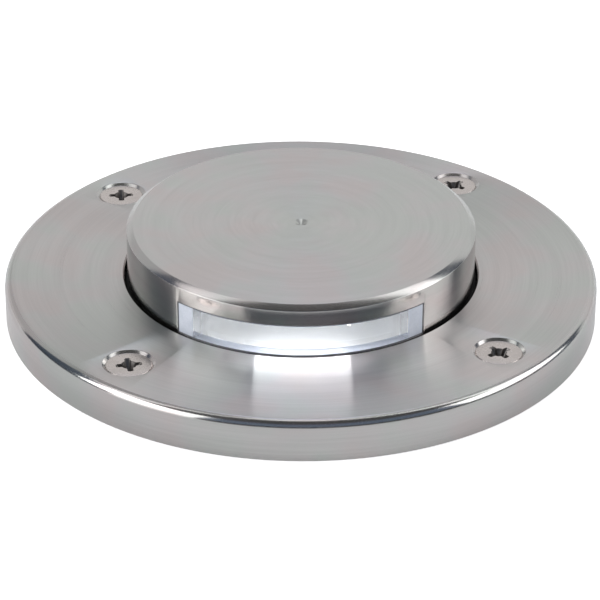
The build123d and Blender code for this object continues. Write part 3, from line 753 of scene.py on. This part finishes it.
# ------------------------------------------------------------------------------------------------------- head
@dataclass
class Head(SubAssembly):
    """The turned cap with its window and the reflector behind it."""

    kept: tuple[str, ...] = ("window_seal", "cap_oring", "cap_reflector", "reflector_screws")
    radius: float = 44.0
    top: float = 23.9
    ceiling: float = 19.9
    cavity: float = 38.0
    lip_radius: float = 48.0
    lip_bottom: float = 2.7
    lip_top: float = 5.2
    chamfer_width: float = 1.64
    chamfer_height: float = 1.15
    crest: float = 0.12
    groove_floor: float = 42.7
    groove_low: float = 6.65
    groove_high: float = 9.05
    centre_mark_radius: float = 1.75
    centre_mark_depth: float = 0.8
    centre_mark_floor: float = 0.35
    centre_mark_edge: float = 0.08
    turned_edge: float = 0.1
    lip_edge: float = 0.2
    ceiling_edge: float = 0.3
    window_low: float = 10.2
    window_high: float = 18.8
    window_middle: float = -90.0
    window_half_angle: float = 43.0
    window_edge: float = 0.1
    seal: float = 0.35
    lens_inset: float = 0.1
    lens_edge: float = 0.12
    underside: float = -0.3  # upward share of the normal below which the window's faces are ground
    ground_end: float = 6.0
    end_gap: float = 0.06
    end_steps: int = 12

    def build_cap(self, steel: bpy.types.Material) -> None:
        """Turn the cap, cut its window and break the window's outer edges.

        Args:
            steel: Material of the cap.
        """
        cap = draw(
            "cap_turned",
            [
                (0.0, self.top - self.centre_mark_depth, 0.0),
                (self.centre_mark_floor, self.top - self.centre_mark_depth, 0.0),
                (self.centre_mark_radius, self.top, self.centre_mark_edge),
                (self.radius - self.chamfer_width, self.top, self.crest),
                (self.radius, self.top - self.chamfer_height, self.crest),
                (self.radius, self.groove_high, self.turned_edge),
                (self.groove_floor, self.groove_high, self.turned_edge),
                (self.groove_floor, self.groove_low, self.turned_edge),
                (self.radius, self.groove_low, self.turned_edge),
                (self.radius, self.lip_top, self.lip_edge),
                (self.lip_radius, self.lip_top, self.lip_edge),
                (self.lip_radius, self.lip_bottom, self.lip_edge),
                (self.cavity, self.lip_bottom, self.lip_edge),
                (self.cavity, self.ceiling, self.ceiling_edge),
                (0.0, self.ceiling, 0.0),
            ],
            closed=False,
        )
        turn(cap)
        low, high = self.window_low, self.window_high
        inner, outer = self.cavity - PAST, self.radius + PAST
        corners = [(inner, low, 0.0), (outer, low, 0.0), (outer, high, 0.0), (inner, high, 0.0)]
        opening = draw("window_cutter", corners)
        cut(cap, sweep(opening, self.window_middle, self.window_half_angle))
        pick_edges(cap, self.on_window_edge)
        bpy.ops.mesh.bevel(offset=self.window_edge * MM, segments=2, affect="EDGES", profile=0.5)
        finish(cap, "cap", [steel, CAP_FACE.make()], ("head_cap",))
        dress_faces(cap, 1, flat_at(self.top))

    def on_window_edge(self, one: Vector, other: Vector) -> bool:
        """Tell whether an edge lies on the outer rim of the window's opening.

        Args:
            one: Place of one end of the edge in millimetres.
            other: Place of its other end.

        Returns:
            True for an edge of the rim.
        """
        on_wall, on_level, on_side = 0.02, 0.01, 0.05
        middle = (one + other) / 2
        if abs(math.hypot(middle.x, middle.y) - self.radius) > on_wall or middle.y > 0:
            return False
        if not (self.window_low - on_level < middle.z < self.window_high + on_level):
            return False
        off = abs(math.degrees(math.atan2(middle.x, -middle.y)))
        if abs(one.z - other.z) >= on_level:
            return abs(off - self.window_half_angle) < on_side
        height = min(abs(middle.z - self.window_low), abs(middle.z - self.window_high))
        return height < on_level and off < self.window_half_angle

    def build_lens(self, clear: bpy.types.Material, ground: bpy.types.Material) -> None:
        """Make the clear window with its two ground ends.

        Args:
            clear: Material of the polished faces.
            ground: Material of the ground faces and ends, which has a painted glow.
        """
        low, high = self.window_low + self.seal, self.window_high - self.seal
        inner, outer = self.cavity + self.lens_inset, self.radius - self.lens_inset
        half = self.window_half_angle - math.degrees(self.seal / self.radius)
        edge = self.lens_edge
        section = [(inner, low, edge), (outer, low, edge), (outer, high, edge), (inner, high, edge)]
        lens = draw("window_clear", section, segments=2)
        sweep(lens, self.window_middle, half - self.ground_end)
        finish(lens, "cap", [clear, ground], ("window_lens",))
        # The ground faces below the window carry the painted glow.
        dress_faces(lens, 1, lambda middle, normal: normal.z < self.underside)
        half_end = self.ground_end / 2
        for side, sign in (("left", -1), ("right", 1)):
            end = draw("window_end_" + side, section, segments=2)
            middle = self.window_middle + sign * (half - half_end)
            sweep(end, middle, half_end - self.end_gap, self.end_steps)
            finish(end, "cap", [ground])

    def build(self, materials: dict[Slot, bpy.types.Material]) -> None:
        """Build and dress the head.

        Args:
            materials: Material of each slot.
        """
        self.build_cap(materials[Slot.STAINLESS])
        self.build_lens(materials[Slot.LENS], GROUND_LENS.make())
        self.dress_kept(materials)


# -------------------------------------------------------------------------------------------------- trim ring
@dataclass
class TrimRing(SubAssembly):
    """The flat ring that lies on the ground, with its countersunk holes."""

    kept: tuple[str, ...] = ("cap_retainer", "retainer_screws")
    radius: float = 75.0
    bore: float = 44.8
    top: float = 10.7
    ceiling: float = 5.5
    recess: float = 70.2
    fillet: float = 2.25
    foot: float = 0.3
    bore_chamfer: float = 0.4
    bore_edge: float = 0.06
    turned_edge: float = 0.1
    recess_edge: float = 0.2
    fillet_steps: int = 8
    screw_circle: float = 63.2
    screw_angle: float = 49.4
    cone_mouth: float = 6.4
    mouth_edge: float = 0.1
    hole: float = 3.3
    hole_steps: int = 96
    retainer_circle: float = 51.55
    retainer_angle: float = 4.4
    retainer_hole: float = 1.55
    retainer_depth: float = 3.5
    retainer_steps: int = 24

    def build(self, materials: dict[Slot, bpy.types.Material]) -> None:
        """Turn the ring, sink its holes and dress it.

        Args:
            materials: Material of each slot.
        """
        ring = draw(
            "ring_turned",
            [
                (self.bore, self.ceiling, self.turned_edge),
                (self.bore, self.top - self.bore_chamfer, self.bore_edge),
                (self.bore + self.bore_chamfer, self.top, self.bore_edge),
                (self.radius, self.top, self.fillet),
                (self.radius, self.foot, self.turned_edge),
                (self.radius - self.foot, 0.0, self.turned_edge),
                (self.recess, 0.0, self.recess_edge),
                (self.recess, self.ceiling, self.recess_edge),
            ],
            segments=self.fillet_steps,
        )
        turn(ring)
        mouth, edge = self.cone_mouth, self.mouth_edge
        sink = draw(
            "countersink_cutter",
            [
                (0.0, self.top + PAST, 0.0),
                (mouth + edge + 2 * PAST, self.top + PAST, 0.0),
                (mouth - edge, self.top - edge, 0.0),
                (self.hole, self.top - mouth + self.hole, 0.0),
                (self.hole, self.ceiling - PAST, 0.0),
                (0.0, self.ceiling - PAST, 0.0),
            ],
            closed=False,
        )
        turn(sink, self.hole_steps)
        pit = draw(
            "retainer_cutter",
            [
                (0.0, self.ceiling + self.retainer_depth, 0.0),
                (self.retainer_hole, self.ceiling + self.retainer_depth, 0.0),
                (self.retainer_hole, self.ceiling - PAST, 0.0),
                (0.0, self.ceiling - PAST, 0.0),
            ],
            closed=False,
        )
        turn(pit, self.retainer_steps)
        holes = (
            (sink, self.screw_circle, self.screw_angle),
            (pit, self.retainer_circle, self.retainer_angle),
        )
        for quarter in range(4):
            for cutter, circle, angle in holes:
                cut(ring, copy_to(cutter, "hole_cutter", about_axis(circle, angle + 90.0 * quarter)))
        bpy.data.objects.remove(sink)
        bpy.data.objects.remove(pit)
        finish(ring, "ring", [materials[Slot.STAINLESS], RING_FACE.make()], ("trim_ring",))
        dress_faces(ring, 1, flat_at(self.top))
        self.dress_kept(materials)


# ------------------------------------------------------------------------------------------------ ring screws
@dataclass
class RingScrews:
    """Four countersunk cross-recess screws, modelled once and copied."""

    top: float = 10.18
    head: float = 5.65
    land: float = 0.25
    crown_edge: float = 0.2
    land_edge: float = 0.04
    neck_round: float = 0.3
    head_steps: int = 72
    sharp_angle: float = 35.0
    shank: float = 3.0
    root: float = 2.4
    pitch: float = 1.0
    tip: float = -9.82
    tip_chamfer: float = 0.7
    thread_top: float = 5.6
    thread_steps: int = 48
    groove_past: float = 0.05
    groove_mouth: float = 0.46  # half the groove's width where it opens
    groove_floor: float = 0.12  # and half its width at the root
    span: float = 6.7
    wing: float = 1.5
    wing_past: float = 0.3
    wing_taper: Pair = (0.34, 0.7)  # share of a wing's length and width that is left at the bottom
    wing_edge: float = 0.35
    wing_edge_steps: int = 3
    recess_depth: float = 3.2
    recess_rim: float = 0.05
    core_past: float = 0.4
    core_mouth: float = 1.9
    core_flare: float = 0.15
    core_tip: float = 0.8
    core_point: float = 0.35
    core_steps: int = 32
    circle: float = 63.2
    angle: float = 49.4
    turns: tuple[tuple[str, float], ...] = (
        ("back_right", 50.0),
        ("back_left", 5.0),
        ("front_left", 12.0),
        ("front_right", 36.0),
    )

    def thread_cutter(self) -> bpy.types.Object:
        """Wind the groove of the thread as one long piece.

        Returns:
            The cutter.
        """
        out = self.shank + self.groove_past
        start = self.tip - self.pitch
        groove = draw(
            "thread_cutter",
            [
                (self.root, start - self.groove_floor, 0.0),
                (out, start - self.groove_mouth, 0.0),
                (out, start + self.groove_mouth, 0.0),
                (self.root, start + self.groove_floor, 0.0),
            ],
        )
        winds = round((self.thread_top - start) / self.pitch)
        activate(groove)
        modifier = groove.modifiers.new("wind", "SCREW")
        modifier.screw_offset = self.pitch * MM
        modifier.iterations = winds
        modifier.steps = modifier.render_steps = self.thread_steps
        modifier.use_smooth_shade = False
        bpy.ops.object.modifier_apply(modifier=modifier.name)
        pick_all(groove)
        bpy.ops.mesh.fill_holes(sides=4)
        close_mesh(groove)
        return groove

    def wing_cutter(self, turned_by: float) -> bpy.types.Object:
        """Make one tapered bar of the cross recess.

        Args:
            turned_by: Degrees by which the bar is turned.

        Returns:
            The cutter.
        """
        deselect()
        height = self.recess_depth + self.wing_past
        bpy.ops.mesh.primitive_cube_add(
            size=MM,
            location=(0, 0, (self.top + self.wing_past - height / 2) * MM),
            scale=(self.span, self.wing, height),
        )
        bar = bpy.context.object
        bpy.ops.object.transform_apply(location=True, rotation=True, scale=True)
        pick_points(bar, lambda co: co.z < self.top)
        bpy.ops.transform.resize(value=(*self.wing_taper, 1), center_override=(0, 0, 0))
        pick_edges(bar, lambda one, other: abs(one.z - other.z) > height / 2)
        bpy.ops.mesh.bevel(
            offset=self.wing_edge * MM, segments=self.wing_edge_steps, affect="EDGES", profile=0.5
        )
        bpy.ops.object.mode_set(mode="OBJECT")
        bar.rotation_euler.z = math.radians(turned_by)
        bpy.ops.object.transform_apply(location=False, rotation=True, scale=False)
        return bar

    def in_recess(self, middle: Vector, spot: Vector) -> bool:
        """Tell whether a face lies inside the cross recess.

        Args:
            middle: Middle of the face in millimetres.
            spot: Place of the screw's axis seen from above, in millimetres.

        Returns:
            True for a face of the recess.
        """
        bottom = self.top - self.recess_depth - PAST
        near = (middle.xy - spot).length < self.span / 2
        return near and bottom < middle.z < self.top - self.recess_rim

    def build(self, materials: dict[Slot, bpy.types.Material]) -> None:
        """Model one screw and put a copy in each hole.

        Args:
            materials: Material of each slot.
        """
        under = self.top - self.land - self.head + self.shank
        screw = draw(
            "ring_screw",
            [
                (0.0, self.top, 0.0),
                (self.head, self.top, self.crown_edge),
                (self.head, self.top - self.land, self.land_edge),
                (self.shank, under, self.neck_round),
                (self.shank, self.tip + self.tip_chamfer, 0.0),
                (self.shank - self.tip_chamfer, self.tip, 0.0),
                (0.0, self.tip, 0.0),
            ],
            closed=False,
        )
        turn(screw, self.head_steps)
        cut(screw, self.thread_cutter())
        core = draw(
            "core_cutter",
            [
                (0.0, self.top + self.core_past, 0.0),
                (self.core_mouth + self.core_flare, self.top + self.core_past, 0.0),
                (self.core_tip, self.top - self.recess_depth, 0.0),
                (0.0, self.top - self.recess_depth - self.core_point, 0.0),
            ],
            closed=False,
        )
        cut(screw, turn(core, self.core_steps))
        for turned_by in (0.0, 90.0):
            cut(screw, self.wing_cutter(turned_by))
        # The second material darkens the cross recess with painted shade.
        steel_and_painted_shade = [materials[Slot.SCREW], PAINTED_RECESS_SHADE.make()]
        for quarter, (corner, turned_by) in enumerate(self.turns):
            place = about_axis(self.circle, self.angle + 90.0 * quarter, turned_by)
            copy = copy_to(screw, "countersunk_screw_" + corner, place)
            node = "ring_screw_" + corner
            finish(copy, "screw_" + corner, steel_and_painted_shade, (node,), self.sharp_angle)
            spot = place.translation.xy / MM
            # The faces of the cross recess get the painted shade.
            dress_faces(copy, 1, lambda middle, normal: self.in_recess(middle, spot))
        bpy.data.objects.remove(screw)


# --------------------------------------------------------------------------------------------------- the rest
@dataclass
class Well(SubAssembly):
    """The moulded well with its gasket and inserts."""

    kept: tuple[str, ...] = ("ring_gasket", "well_housing", "threaded_inserts")


@dataclass
class LightEngine(SubAssembly):
    """The light source on its plate, with the dish round it."""

    kept: tuple[str, ...] = (
        "led_carrier", "carrier_screws", "thermal_pad", "led_board", "board_screws", "led_emitter",
        "led_optic", "board_connector", "deck_reflector", "lead_grommet",
    )


@dataclass
class Electrics(SubAssembly):
    """The driver, the terminals and the leads."""

    kept: tuple[str, ...] = (
        "driver_case", "driver_potting", "driver_screws", "terminal_block", "clamp_screws", "block_screws",
        "supply_lead_line", "supply_lead_return", "led_lead_plus", "led_lead_minus",
    )


@dataclass
class CableGland(SubAssembly):
    """The gland that the supply cable goes through."""

    kept: tuple[str, ...] = ("gland_body", "gland_washer", "gland_locknut", "gland_seal", "gland_nut")


# ----------------------------------------------------------------------------------------------------- studio
SLATE_LIGHT = "c4d6f4"
SKY_LIGHT = "e9eefa"


class LampShape(Enum):
    """Outline of a soft lamp."""

    DISC = "DISK"
    OBLONG = "RECTANGLE"


@dataclass(frozen=True)
class Card:
    """A curved card that stands round the light and shows in its metal.

    Its headings run from the front towards the right, and its rises from the ground, all in degrees.
    """

    name: str
    azimuths: Pair
    elevations: Pair
    strength: float
    colour: str = "ffffff"


@dataclass
class Studio:
    """Pale floor with a hole for the well, a white room, cards, two lamps for the lit source, and a camera.

    Sizes are in millimetres, angles in degrees and powers in watts. The cards stand at card_reach metres.
    """

    hole: float = 72.0
    floor_sides: int = 128
    floor_reach: float = 3000.0
    floor_level: float = -0.05
    floor_paper: str = "e8e8e8"
    floor_lift: float = 0.75  # added where the camera sees the floor, straight or through the window
    floor_sheen: float = 0.16  # added where metal mirrors the floor
    room_light: float = 0.9
    room_white: float = 1.0
    card_reach: float = 1.8
    card_level: float = 1.13
    card_grid: tuple[int, int] = (12, 8)
    dish_lamp_size: float = 28.0
    dish_lamp_level: float = 13.0
    dish_lamp_power: float = 0.016
    window_lamp_size: Pair = (22.0, 4.0)
    window_lamp_spot: tuple[float, float, float] = (0.5, -35.0, 16.4)
    window_lamp_power: float = 0.0019
    sensor: float = 36.0
    lens: float = 173.75
    sight: Pair = (0.05, 50.0)  # nearest and farthest metre that the camera sees
    tilt: float = 60.831
    roll: float = 0.31
    camera_spot: tuple[float, float, float] = (-0.187, -646.4, 362.2)
    cards: tuple[Card, ...] = (
        Card("back_low", (121, 241), (1, 15), 0.64),
        Card("back_right_middle", (129, 200), (15, 45), 0.7),
        Card("back_left_middle", (200, 241), (15, 45), 0.52),
        Card("back_right_high", (129, 160), (45, 78), 0.6),
        Card("back_high", (160, 200), (45, 78), 0.95, SKY_LIGHT),
        Card("back_left_high", (200, 240), (45, 78), 0.4),
        Card("left_slate_high", (-120, -110), (45, 78), 0.1, SLATE_LIGHT),
        Card("left_slate_low", (-119, -70), (1, 15), 0.1, SLATE_LIGHT),
        Card("left_slate_middle", (-119, -87), (15, 45), 0.14, SLATE_LIGHT),
        Card("left_box_high", (-110, -78), (45, 78), 1.1),
        Card("left_box_low", (-70, -37), (1, 15), 1.6),
        Card("left_box_middle", (-87, -55), (15, 45), 3.8),
        Card("left_box_front", (-55, -37), (15, 45), 2.3),
        Card("front_low", (-37, 95), (1, 15), 0.04),
        Card("front_middle", (-37, 62), (15, 45), 0.26, SLATE_LIGHT),
        Card("front_high", (-78, 92), (45, 78), 0.08),
        Card("right_box_middle", (62, 113), (15, 45), 2.5),
        Card("right_box_high", (92, 116), (45, 78), 1.6),
        Card("right_slate_low", (95, 121), (1, 15), 0.12, SLATE_LIGHT),
        Card("right_slate_middle", (113, 129), (15, 45), 0.1, SLATE_LIGHT),
        Card("right_slate_high", (116, 129), (45, 78), 0.1, SLATE_LIGHT),
        Card("overhead_back", (90, 270), (78, 90), 1.2),
        Card("overhead_front", (-90, 90), (78, 90), 0.1),
    )

    def build_floor(self) -> None:
        """Lay the floor round the hole."""
        deselect()
        spot = (0, 0, self.floor_level * MM)
        bpy.ops.mesh.primitive_circle_add(
            vertices=self.floor_sides, radius=self.hole * MM, fill_type="NOTHING", location=spot
        )
        floor = bpy.context.object
        floor.name = "studio_floor"
        bpy.ops.object.transform_apply(location=True, rotation=True, scale=True)
        pick_all(floor)
        bpy.ops.mesh.extrude_region_move()
        wider = self.floor_reach / self.hole
        bpy.ops.transform.resize(value=(wider, wider, 1), center_override=spot)
        bpy.ops.mesh.select_all(action="SELECT")
        bpy.ops.mesh.normals_make_consistent(inside=False)
        bpy.ops.object.mode_set(mode="OBJECT")
        if floor.data.polygons[0].normal.z < 0:
            pick_all(floor)
            bpy.ops.mesh.flip_normals()
            bpy.ops.object.mode_set(mode="OBJECT")
        material, tree = Finish("white paper").empty_tree()
        paper = add_node(tree, "ShaderNodeBsdfDiffuse", {"Color": linear(self.floor_paper)})
        camera = add_node(tree, "ShaderNodeLightPath", output="Is Camera Ray")
        through = camera.node.outputs["Is Transmission Ray"]
        seen = add_node(tree, "ShaderNodeMath", {0: camera, 1: through}, operation="MAXIMUM")
        gloss = camera.node.outputs["Is Glossy Ray"]
        sheen = add_node(tree, "ShaderNodeMath", {0: gloss, 1: self.floor_sheen}, operation="MULTIPLY")
        lift_inputs = {0: seen, 1: self.floor_lift, 2: sheen}
        lift = add_node(tree, "ShaderNodeMath", lift_inputs, operation="MULTIPLY_ADD")
        white = add_node(tree, "ShaderNodeEmission", {"Color": WHITE, "Strength": lift})
        top = add_node(tree, "ShaderNodeAddShader", {0: paper, 1: white})
        under = add_node(tree, "ShaderNodeNewGeometry", output="Backfacing")
        clear = add_node(tree, "ShaderNodeBsdfTransparent")
        surface = add_node(tree, "ShaderNodeMixShader", {0: under, 1: top, 2: clear})
        add_node(tree, "ShaderNodeOutputMaterial", {"Surface": surface})
        floor.data.materials.append(material)

    def build_world(self) -> None:
        """Set the white room: plain light, and full white where it is seen or mirrored."""
        world = bpy.data.worlds.new("white room")
        bpy.context.scene.world = world
        world.use_nodes = True
        tree = world.node_tree
        tree.nodes.clear()
        camera = add_node(tree, "ShaderNodeLightPath", output="Is Camera Ray")
        gloss, through = camera.node.outputs["Is Glossy Ray"], camera.node.outputs["Is Transmission Ray"]
        seen = add_node(tree, "ShaderNodeMath", {0: camera, 1: gloss}, operation="MAXIMUM")
        seen = add_node(tree, "ShaderNodeMath", {0: seen, 1: through}, operation="MAXIMUM")
        light = add_node(tree, "ShaderNodeBackground", {"Color": WHITE, "Strength": self.room_light})
        white = add_node(tree, "ShaderNodeBackground", {"Color": WHITE, "Strength": self.room_white})
        surface = add_node(tree, "ShaderNodeMixShader", {0: seen, 1: light, 2: white})
        add_node(tree, "ShaderNodeOutputWorld", {"Surface": surface})

    def build_card(self, card: Card) -> None:
        """Stand one card round the light.

        Args:
            card: Its name, extent, strength and colour.
        """
        deselect()
        columns, rows = self.card_grid
        bpy.ops.mesh.primitive_grid_add(x_subdivisions=columns, y_subdivisions=rows, size=2.0)
        sheet = bpy.context.object
        sheet.name = "card_" + card.name
        (left, right), (low, high) = card.azimuths, card.elevations
        for vertex in sheet.data.vertices:
            across, up = (vertex.co.x + 1) / 2, (vertex.co.y + 1) / 2
            heading = math.radians(left + (right - left) * across)
            rise = math.radians(low + (high - low) * up)
            side, depth = math.sin(heading) * math.cos(rise), -math.cos(heading) * math.cos(rise)
            vertex.co = Vector((side, depth, math.sin(rise))) * self.card_reach
        material, tree = Finish(card.name).empty_tree()
        strength = self.card_level * card.strength
        glow = add_node(tree, "ShaderNodeEmission", {"Color": linear(card.colour), "Strength": strength})
        add_node(tree, "ShaderNodeOutputMaterial", {"Surface": glow})
        sheet.data.materials.append(material)
        sheet.visible_camera = False

    def build_camera(self) -> None:
        """Set the camera at the photograph's place."""
        data = bpy.data.cameras.new("camera")
        data.sensor_width = self.sensor
        data.lens = self.lens
        data.clip_start, data.clip_end = self.sight
        camera = bpy.data.objects.new("camera", data)
        bpy.context.scene.collection.objects.link(camera)
        tilted = Matrix.Rotation(math.radians(self.tilt), 4, "X")
        turned = tilted @ Matrix.Rotation(math.radians(self.roll), 4, "Z")
        camera.matrix_world = Matrix.Translation(Vector(self.camera_spot) * MM) @ turned
        bpy.context.scene.camera = camera

    def build_lamp(self, name: str, shape: LampShape, size: Pair, power: float, place: Matrix) -> None:
        """Hang a soft lamp inside the head, as the lit source and its cone shine there.

        Args:
            name: Name of the lamp.
            shape: Its outline.
            size: Width and height in millimetres.
            power: Power in watts.
            place: Where it is, and which way it is turned.
        """
        data = bpy.data.lights.new(name, "AREA")
        data.shape = shape.value
        data.size, data.size_y = size[0] * MM, size[1] * MM
        data.energy = power
        lamp = bpy.data.objects.new(name, data)
        lamp.matrix_world = place
        lamp.visible_camera = False
        bpy.context.scene.collection.objects.link(lamp)

    def build(self) -> None:
        """Build the whole studio."""
        self.build_floor()
        self.build_world()
        for card in self.cards:
            self.build_card(card)
        down = Matrix.Translation(Vector((0, 0, self.dish_lamp_level)) * MM)
        round_size = (self.dish_lamp_size, 0.0)
        self.build_lamp("dish_lamp", LampShape.DISC, round_size, self.dish_lamp_power, down)
        facing = Matrix.Rotation(math.radians(-90), 4, "X")
        ahead = Matrix.Translation(Vector(self.window_lamp_spot) * MM) @ facing
        self.build_lamp("window_lamp", LampShape.OBLONG, self.window_lamp_size, self.window_lamp_power, ahead)
        self.build_camera()
        bpy.context.scene.view_settings.view_transform = "Standard"


def main() -> None:
    """Build the light piece by piece, then its studio."""
    logging.basicConfig(level=logging.INFO, format="%(name)s: %(message)s")
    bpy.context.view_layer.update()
    materials = {slot: finish_kind.make() for slot, finish_kind in FINISHES.items()}
    Head().build(materials)
    TrimRing().build(materials)
    RingScrews().build(materials)
    for group in (Well(), LightEngine(), Electrics(), CableGland()):
        group.dress_kept(materials)
    Studio().build()
    deselect()
    bpy.context.view_layer.update()


if __name__ == "__main__":
    main()
